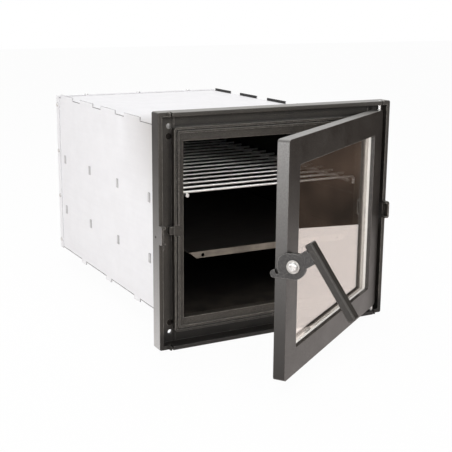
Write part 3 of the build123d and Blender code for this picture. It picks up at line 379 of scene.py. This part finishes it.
def casing_sheet(name, limits, tones=flat_tones, dark_band_mm=side_band_mm):
    """Sheet that is pale beyond the limits in x, y or z, and blackened within them."""
    made, tree, shader, place = start(name)
    sizes = add(tree, "VectorMath", "Vector", {"operation": "ABSOLUTE"}, i0=place)
    beyond = add(tree, "VectorMath", "Vector", {"operation": "SUBTRACT"}, i0=sizes, i1=limits)
    beyond = add(tree, "SeparateXYZ", None, Vector=beyond)
    most = add(tree, "Math", "Value", {"operation": "MAXIMUM"},
               i0=beyond.outputs["X"], i1=beyond.outputs["Z"])
    most = add(tree, "Math", "Value", {"operation": "MAXIMUM"}, i0=most, i1=beyond.outputs["Y"])
    outside = add(tree, "Math", "Value", {"operation": "GREATER_THAN"}, i0=most, i1=-half_sheet_mm * MM)

    mottle = add(tree, "TexNoise", "Fac", Vector=place, Scale=1 / (mottle_mm * MM), Detail=4.0,
                 Roughness=0.6)
    rolling = add(tree, "Mapping", "Vector", Vector=place, Scale=(1.0, 0.05, 1.0))
    streaks = add(tree, "TexNoise", "Fac", Vector=rolling, Scale=1 / (streak_mm * MM), Detail=2.0)
    tone = add(tree, "MapRange", "Result", Value=mottle, From_Min=0.35, From_Max=0.65)
    pale = add(tree, "Mix", 2, COLOURS, i0=tone, i6=colour(tones[0]), i7=colour(tones[1]))
    streaky = add(tree, "MapRange", "Result", Value=streaks, From_Min=0.45, From_Max=0.75, To_Max=0.2)
    pale = add(tree, "Mix", 2, COLOURS, i0=streaky, i6=pale, i7=colour("e6e4e7"))
    along = add(tree, "SeparateXYZ", "Y", Vector=place)
    height = add(tree, "SeparateXYZ", "Z", Vector=place)
    # Painted shadow of the frame: grey near the top, close behind it.
    behind_frame = add(tree, "MapRange", "Result", Value=along,
                       From_Min=shadow_behind_mm[0] * MM, From_Max=shadow_behind_mm[1] * MM)
    near_top = add(tree, "MapRange", "Result", Value=height,
                   From_Min=shadow_heights_mm[0] * MM, From_Max=shadow_heights_mm[1] * MM, To_Max=0.75)
    frame_shadow = add(tree, "Math", "Value", {"operation": "MULTIPLY"}, i0=behind_frame, i1=near_top)
    pale = add(tree, "Mix", 2, COLOURS, i0=frame_shadow, i6=pale, i7=colour("b9b5b2"))
    # Darker in a band close behind the frame.
    near_frame_dark = add(tree, "MapRange", "Result", Value=along,
                 From_Min=dark_band_mm[0] * MM, From_Max=dark_band_mm[1] * MM, To_Max=0.9)
    pale = add(tree, "Mix", 2, COLOURS, i0=near_frame_dark, i6=pale, i7=colour("38322d"))

    black = add(tree, "Mix", 2, COLOURS, i0=tone, i6=colour("090808"), i7=colour("131110"))
    floor_only = add(tree, "Math", "Value", {"operation": "LESS_THAN"}, i0=height, i1=ash_below_mm * MM)
    near_mouth = add(tree, "MapRange", "Result", Value=along,
                     From_Min=ash_behind_mm[0] * MM, From_Max=ash_behind_mm[1] * MM, To_Max=0.8)
    ash_patch = add(tree, "MapRange", "Result", Value=mottle, From_Min=0.38, From_Max=0.62, To_Min=0.25)
    ash = add(tree, "Math", "Value", {"operation": "MULTIPLY"}, i0=near_mouth, i1=ash_patch)
    ash = add(tree, "Math", "Value", {"operation": "MULTIPLY"}, i0=ash, i1=floor_only)
    black = add(tree, "Mix", 2, COLOURS, i0=ash, i6=black, i7=colour("57514b"))

    body = add(tree, "Mix", 2, COLOURS, i0=outside, i6=black, i7=pale)
    roughness = add(tree, "MapRange", "Result", Value=mottle,
                    From_Min=0.3, From_Max=0.7, To_Min=0.48, To_Max=0.54)
    soft_normal = add(tree, "Bevel", "Normal", {"samples": 6}, Radius=sheet_edge_mm * MM)
    true_normal = add(tree, "NewGeometry", "Normal")
    alike = add(tree, "VectorMath", "Value", {"operation": "DOT_PRODUCT"}, i0=true_normal,
                i1=soft_normal)
    cut_edge = add(tree, "MapRange", "Result", Value=alike, From_Min=0.985, From_Max=0.88, To_Max=0.7)
    body = add(tree, "Mix", 2, COLOURS, i0=cut_edge, i6=body, i7=colour("959494"))
    dimpled = add(tree, "Bump", "Normal", Height=mottle, Distance=dimple_mm * MM, Normal=soft_normal)
    feed(shader, Base_Color=body, Roughness=roughness, Normal=dimpled, Specular_IOR_Level=0.35)
    return made


# %% [markdown]
# Each panel is pale beyond its own limit only: the sides beyond the casing's width, the top and the
# bottom beyond its height, and the rear panel beyond any of the three. The runners have the sides'
# limit, so that only their folded tabs are pale.

# %% The panels and runners
side_limits = (casing_reach.x, far_away, far_away)
top_limits = (far_away, far_away, casing_reach.z)
sides_sheet = casing_sheet("aluminised_sheet_sides", side_limits)
top_sheet = casing_sheet("aluminised_sheet_top", top_limits, dark_band_mm=top_band_mm)
rear_sheet = casing_sheet("aluminised_sheet_rear", tuple(casing_reach))
folded_sheet = casing_sheet("aluminised_sheet_folded", side_limits, tones=shaded_tab_tones)
paint(sides_sheet, "side_panel_left", "side_panel_right")
paint(folded_sheet,
      *[f"runner_{level}_{side}" for level in ("upper", "lower") for side in ("left", "right")])
paint(top_sheet, "top_panel", "bottom_panel")
paint(rear_sheet, "rear_panel")

# %% [markdown]
# ## Shelf: bare sheet that the heat has browned
#
# The shelf is bare steel. Its lip, which hands and trays rub clean, is light brown with long brush
# lines, and its top is black with baked-on soot.


# %% Shelf sheet
brush_line_mm = 1.2
stain_mm = 40
brush_relief_mm = 0.04


def browned_sheet(name):
    made, tree, shader, place = start(name)
    drawn_out = add(tree, "Mapping", "Vector", Vector=place, Scale=(0.03, 1.0, 1.0))
    lines = add(tree, "TexNoise", "Fac", Vector=drawn_out, Scale=1 / (brush_line_mm * MM),
                Detail=3.0, Roughness=0.6)
    stain = add(tree, "TexNoise", "Fac", Vector=place, Scale=1 / (stain_mm * MM), Detail=4.0,
                Roughness=0.6)
    tone = add(tree, "MapRange", "Result", Value=stain, From_Min=0.35, From_Max=0.65)
    body = add(tree, "Mix", 2, COLOURS, i0=tone, i6=colour("524c45"), i7=colour("7d746a"))
    brushed = add(tree, "MapRange", "Result", Value=lines, From_Min=0.4, From_Max=0.7, To_Max=0.35)
    body = add(tree, "Mix", 2, COLOURS, i0=brushed, i6=body, i7=colour("969085"))
    normal = add(tree, "NewGeometry", "Normal")
    looks_up = add(tree, "SeparateXYZ", "Z", Vector=normal)
    darkening = add(tree, "MapRange", "Result", Value=looks_up, From_Min=0.3, From_Max=0.7, To_Max=0.96)
    body = add(tree, "Mix", 2, COLOURS, i0=darkening, i6=body, i7=colour("14110f"))
    roughness = add(tree, "MapRange", "Result", Value=lines,
                    From_Min=0.3, From_Max=0.7, To_Min=0.42, To_Max=0.6)
    grooves = add(tree, "Bump", "Normal", Height=lines, Distance=brush_relief_mm * MM)
    feed(shader, Base_Color=body, Metallic=0.35, Roughness=roughness, Normal=grooves)
    return made


paint(browned_sheet("heat_browned_sheet_steel"), "shelf_plate")

# %% [markdown]
# ## Glass
#
# Stove glass is a clear glass-ceramic. A thin metal-oxide coat on it throws the fire's heat back, and
# it makes the pane a weak mirror, which is why the photograph shows the bright table in it. The part of
# the shader that is metal stands for that coat. Cooking fumes leave a few dull smears. The pane throws
# no shadow, so that the lamps light the things behind it.


# %% Stove glass
smear_mm = 60
glass_look, tree, shader, place = start("coated_glass_ceramic")
smear = add(tree, "TexNoise", "Fac", Vector=place, Scale=1 / (smear_mm * MM), Detail=2.0)
dull = add(tree, "MapRange", "Result", Value=smear, From_Min=0.5, From_Max=0.8, To_Min=0.0, To_Max=0.04)
feed(shader, Base_Color=colour("fbf6f2"), Roughness=dull, IOR=1.54, Transmission_Weight=1.0,
     Metallic=0.4)
paint(glass_look, "door_glass")
nodes["door_glass"].visible_shadow = False

# %% [markdown]
# ## Seal rope and glass tape
#
# Two soft pieces sit in the door. A knitted glass-fibre rope lies in a seat in its back and meets the
# frame's ridges, and white ceramic-fibre tape lies between the glass and the iron. Both are loops that
# follow a rounded rectangle in the door's own plane. Each starts as a flat grid, long along the loop and
# narrow round the piece, and every point of the grid is then carried to its place on the loop. A curve
# with a round bevel would be quicker, but its cord is smooth. The grid gives an even mesh, and the knit
# and the felt can be pressed into it as real relief.

# %% A loop in the door's plane
door_joint = frame["joints"][0]
open_angle = math.radians(-door_joint["range_deg"][0])
hinge_point = Vector(door_joint["pos_m"])
across_door = Vector((math.cos(open_angle), math.sin(open_angle), 0.0))
out_of_door = Vector((math.sin(open_angle), -math.cos(open_angle), 0.0))
merge_distance = 0.005 * MM
print("door open by", round(math.degrees(open_angle)), "degrees")


def door_place(x, z, front):
    """A point of the open door from its place on the shut door, `front` before the frame's back face."""
    return (hinge_point + across_door * (x - hinge_point.x) + out_of_door * (front + hinge_point.y)
            + Vector((0.0, 0.0, z)))


def along_loop(way, half_x, half_z, corner):
    """The point at a distance along a rounded rectangle, and the outward direction there."""
    arc = corner * math.pi / 2
    for quarter in range(4):
        facing = quarter * math.pi / 2
        outward = Vector((math.cos(facing), math.sin(facing)))
        forward = Vector((-math.sin(facing), math.cos(facing)))
        reach, half_run = (half_x, half_z - corner) if quarter % 2 == 0 else (half_z, half_x - corner)
        if way <= 2 * half_run:
            return outward * reach + forward * (way - half_run), outward
        way -= 2 * half_run
        if way <= arc or quarter == 3:
            turned = facing + min(way, arc) / corner
            direction = Vector((math.cos(turned), math.sin(turned)))
            return outward * (reach - corner) + forward * half_run + direction * corner, direction
        way -= arc


def loop_piece(name, half_x, half_z, corner, front, step, sides, section, made):
    """A closed loop whose section gives, for a way and a turn, the distance outwards and forwards."""
    length = 4 * (half_x + half_z) - 8 * corner + 2 * math.pi * corner
    shape = bmesh.new()
    bmesh.ops.create_grid(shape, x_segments=round(length / step), y_segments=sides, size=0.5)
    for vertex in shape.verts:
        way = (vertex.co.x + 0.5) * length
        turn_round = (vertex.co.y + 0.5) * 2 * math.pi
        outwards, forwards = section(way, turn_round, length)
        point, direction = along_loop(way, half_x, half_z, corner)
        point = point + direction * outwards
        vertex.co = door_place(point.x, point.y, front + forwards)
    bmesh.ops.remove_doubles(shape, verts=shape.verts, dist=merge_distance)
    bmesh.ops.recalc_face_normals(shape, faces=shape.faces)
    mesh = bpy.data.meshes.new(name)
    shape.to_mesh(mesh)
    shape.free()
    for face in mesh.polygons:
        face.use_smooth = True
    mesh.materials.append(made)
    piece = bpy.data.objects.new(name, mesh)
    bpy.context.scene.collection.objects.link(piece)
    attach(piece, "door")
    print(name, "has", len(mesh.polygons), "faces")
    return piece


# %% [markdown]
# The fibre material is made of many threads, so it has hardly any gloss, a soft sheen at grazing
# angles, and a colour that varies from thread to thread.


# %% Fibre
def fibre(name, dark, light, size_mm, depth_mm):
    made, tree, shader, place = start(name)
    felt = add(tree, "TexNoise", "Fac", Vector=place, Scale=1 / (size_mm * MM), Detail=4.0,
               Roughness=0.7)
    tone = add(tree, "MapRange", "Result", Value=felt, From_Min=0.3, From_Max=0.7)
    body = add(tree, "Mix", 2, COLOURS, i0=tone, i6=colour(dark), i7=colour(light))
    fuzzy = add(tree, "Bump", "Normal", Height=felt, Distance=depth_mm * MM)
    feed(shader, Base_Color=body, Normal=fuzzy, Roughness=0.95, Specular_IOR_Level=0.2,
         Sheen_Weight=0.3, Sheen_Roughness=0.6)
    return made


white_fibre = fibre("ceramic_fibre_felt", "d3d0ca", "e9e7e2", size_mm=0.9, depth_mm=0.2)
dark_fibre = fibre("knitted_glass_fibre", "2b2926", "57534c", size_mm=0.6, depth_mm=0.15)
print("fibres:", white_fibre.name, "and", dark_fibre.name)

# %% [markdown]
# The rope is knitted, so slanted stitches cross each other on its surface. Two waves that wind round
# the rope in opposite directions give that net of stitches, pressed a third of a millimetre deep.

# %% Seal rope
rope_half_wide = 4.0 * MM
rope_half_thick = 2.5 * MM
rope_middle_front = 18.4 * MM
rope_loop_half_x = 172.25 * MM
rope_loop_half_z = 151.25 * MM
rope_loop_corner = 5.0 * MM
rope_step = 0.7 * MM
rope_sides = 24
stitch = 5.6 * MM
stitch_depth = 0.35 * MM
stitches_round = 4


def rope_section(way, turn_round, length):
    waves = round(length / stitch)
    lengthwise = 2 * math.pi * waves * way / length
    relief = abs(math.sin((lengthwise + stitches_round * turn_round) / 2)
                 * math.sin((lengthwise - stitches_round * turn_round) / 2))
    pressed = stitch_depth * (1.0 - relief)
    return ((rope_half_wide - pressed) * math.cos(turn_round),
            (rope_half_thick - pressed) * math.sin(turn_round))


seal_rope = loop_piece("knitted_seal_rope", rope_loop_half_x, rope_loop_half_z, rope_loop_corner,
                       rope_middle_front, rope_step, rope_sides, rope_section, dark_fibre)
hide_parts("door_seal_rope")

# %% [markdown]
# The tape is pressed flat between glass and iron. Its section is nearly a rectangle with soft corners,
# and its edge is a little uneven, because felt tears rather than cuts. The unevenness only goes
# inwards, so that the tape stays between its neighbours.

# %% Glass tape
tape_half_wide = 1.85 * MM
tape_half_thick = 2.35 * MM
tape_middle_front = 15.35 * MM
tape_loop_half_x = 156.65 * MM
tape_loop_half_z = 129.15 * MM
tape_loop_corner = 4.0 * MM
tape_step = 1.0 * MM
tape_sides = 20
felt_depth = 0.22 * MM
felt_size = 1.6 * MM
squareness = 0.35


def tape_section(way, turn_round, length):
    across = math.copysign(abs(math.cos(turn_round)) ** squareness, math.cos(turn_round))
    along = math.copysign(abs(math.sin(turn_round)) ** squareness, math.sin(turn_round))
    lump = noise.noise(Vector((way / felt_size, 2.0 * across, 2.0 * along)))
    torn = felt_depth * max(0.0, 0.5 + lump) * abs(math.cos(turn_round))
    return (tape_half_wide - torn) * across, tape_half_thick * along


glass_tape = loop_piece("felted_glass_tape", tape_loop_half_x, tape_loop_half_z, tape_loop_corner,
                        tape_middle_front, tape_step, tape_sides, tape_section, white_fibre)
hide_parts("glass_gasket")

# %% [markdown]
# ## Weld beads of the rack
#
# The rack's cross wires are resistance-welded on two rails. The joint squeezes a little metal out on
# all sides. A rounded fillet could be cut for each joint, but at this size one flattened ball at each
# crossing, sunk into both wires, looks the same.

# %% Weld beads
rack_low, rack_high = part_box("wire_rack")
rack_wires = 17
wire_size = 4.5 * MM
rail_overhang = 4.0 * MM
rail_inset = 15.0 * MM
bead_radius = 2.7 * MM
bead_flatness = Matrix.Diagonal((1.0, 1.0, 0.42, 1.0))

first_wire = rack_low.y + rail_overhang
last_wire = rack_high.y - rail_overhang
joint_height = rack_high.z - wire_size
beads = bmesh.new()
for number in range(rack_wires):
    wire_y = first_wire + number * (last_wire - first_wire) / (rack_wires - 1)
    for rail_x in (rack_low.x + rail_inset, rack_high.x - rail_inset):
        at_joint = Matrix.Translation((rail_x, wire_y, joint_height)) @ bead_flatness
        bmesh.ops.create_icosphere(beads, subdivisions=2, radius=bead_radius, matrix=at_joint)
bead_mesh = bpy.data.meshes.new("rack_weld_beads")
beads.to_mesh(bead_mesh)
beads.free()
for face in bead_mesh.polygons:
    face.use_smooth = True
bead_mesh.materials.append(chrome)
weld_beads = bpy.data.objects.new("rack_weld_beads", bead_mesh)
bpy.context.scene.collection.objects.link(weld_beads)
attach(weld_beads, "frame")
print("weld beads:", 2 * rack_wires)

# %% [markdown]
# ## Floor and background
#
# The photograph is a cut-out on white. A white floor runs under the oven and shows white to the camera,
# to mirrors and through glass. To the camera it is mostly a plain white glow with a little real shading
# in it, which keeps the oven's soft shadow. In mirrors it is a little warmer.


# %% Floor
def flat_piece(name, half_size, place, made):
    """A flat square for the studio."""
    shape = bmesh.new()
    bmesh.ops.create_grid(shape, x_segments=1, y_segments=1, size=half_size, matrix=place)
    mesh = bpy.data.meshes.new(name)
    shape.to_mesh(mesh)
    shape.free()
    mesh.materials.append(made)
    flat = bpy.data.objects.new(name, mesh)
    bpy.context.scene.collection.objects.link(flat)
    return flat


floor_gap = 0.5 * MM
floor_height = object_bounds()[0].z - floor_gap
floor_half_size = 8.0
plain_white_share = 0.96

floor_look, tree, shader, place = start("white_studio_floor")
feed(shader, Base_Color=colour("f0efee"), Roughness=0.9)
ray = add(tree, "LightPath")
to_camera = add(tree, "Math", "Value", {"operation": "MAXIMUM"},
                i0=ray.outputs["Is Camera Ray"], i1=ray.outputs["Is Transmission Ray"])
to_camera = add(tree, "Math", "Value", {"operation": "MULTIPLY"}, i0=to_camera, i1=plain_white_share)
shown = add(tree, "Math", "Value", {"operation": "MAXIMUM"},
            i0=to_camera, i1=ray.outputs["Is Glossy Ray"])
glow_colour = add(tree, "Mix", 2, COLOURS, i0=ray.outputs["Is Glossy Ray"],
                  i6=colour("ffffff"), i7=colour("fff6f2"))
glow = add(tree, "Emission", "Emission", Color=glow_colour)
mixed = add(tree, "MixShader", "Shader", Fac=shown, i1=shader.outputs["BSDF"], i2=glow)
feed(tree.nodes["Material Output"], Surface=mixed)
flat_piece("floor", floor_half_size, Matrix.Translation((0.0, 0.0, floor_height)), floor_look)
print("floor at", round(floor_height, 4))

# %% [markdown]
# The world is white as well where it is seen, and weaker where it lights the oven, so that pale sheet
# doesn't turn plain white.

# %% World
room_light = 0.42
world = bpy.data.worlds.new("white_room")
bpy.context.scene.world = world
world.use_nodes = True
tree = world.node_tree
ray = add(tree, "LightPath")
seen = add(tree, "Math", "Value", {"operation": "MAXIMUM"},
           i0=ray.outputs["Is Camera Ray"], i1=ray.outputs["Is Transmission Ray"])
seen = add(tree, "Math", "Value", {"operation": "MAXIMUM"}, i0=seen, i1=ray.outputs["Is Glossy Ray"])
strength = add(tree, "MapRange", "Result", Value=seen, To_Min=room_light)
feed(tree.nodes["Background"], Color=colour("ffffff"), Strength=strength)
print("room light:", room_light)

# %% [markdown]
# ## The dark end of the room
#
# In the photograph the lower half of the glass mirrors the white table, and the upper half mirrors the
# dark room behind the table's edge. The mirrored rays were followed back: that edge lies 0.8 m to the
# right of the oven's middle. A dark brown card with soft clouds stands there. Only mirrors and the glass
# see it, so it takes no light away.

# %% Dark card
card_half_size = 0.65
card_to_the_right = 0.80
card_behind = 0.07
card_turn = math.radians(-9.0)
cloud_size = 0.2

card_look, tree, shader, place = start("dark_room_card")
clouds = add(tree, "TexNoise", "Fac", Vector=place, Scale=1 / cloud_size, Detail=3.0)
clouds = add(tree, "MapRange", "Result", Value=clouds, From_Min=0.35, From_Max=0.65)
card_tone = add(tree, "Mix", 2, COLOURS, i0=clouds, i6=colour("302b27"), i7=colour("63544a"))
feed(tree.nodes["Material Output"], Surface=add(tree, "Emission", "Emission", Color=card_tone))
card_place = (Matrix.Translation((card_to_the_right, card_behind, floor_height + card_half_size))
              @ Matrix.Rotation(card_turn, 4, "Z") @ Matrix.Rotation(math.radians(90.0), 4, "Y"))
card = flat_piece("dark_room_card", card_half_size, card_place, card_look)
card.visible_camera = False
card.visible_diffuse = False
card.visible_shadow = False
print("dark card", 2 * card_half_size, "m wide")

# %% [markdown]
# ## Lamps
#
# The light comes from large soft lamps: a wide one overhead, one at the left at the oven's height, and
# two weaker ones in front and at the front right. The left lamp makes the frame's and the door's left
# faces paler than their fronts, as in the photograph. The right one puts the bright lines on the rack's
# wires.


# %% Lamps
def area_lamp(name, place_m, size_m, watts):
    """A rectangular lamp that points at the middle of the oven's front."""
    lamp_data = bpy.data.lights.new(name, "AREA")
    lamp_data.shape = "RECTANGLE"
    lamp_data.size, lamp_data.size_y = size_m
    lamp_data.energy = watts
    lamp = bpy.data.objects.new(name, lamp_data)
    towards_oven = (-Vector(place_m)).to_track_quat("-Z", "Y").to_matrix().to_4x4()
    lamp.matrix_world = Matrix.Translation(place_m) @ towards_oven
    bpy.context.scene.collection.objects.link(lamp)
    print(name, watts, "W")


area_lamp("lamp_left", place_m=(-2.2, -0.6, 0.25), size_m=(0.9, 0.7), watts=18.0)
area_lamp("lamp_top", place_m=(0.1, 0.5, 2.3), size_m=(2.0, 1.6), watts=30.0)
area_lamp("lamp_front", place_m=(-0.7, -2.4, 0.9), size_m=(1.2, 1.0), watts=15.0)
area_lamp("lamp_right", place_m=(1.2, -2.3, 0.8), size_m=(0.8, 0.6), watts=11.0)

bpy.context.scene.view_settings.view_transform = "Standard"
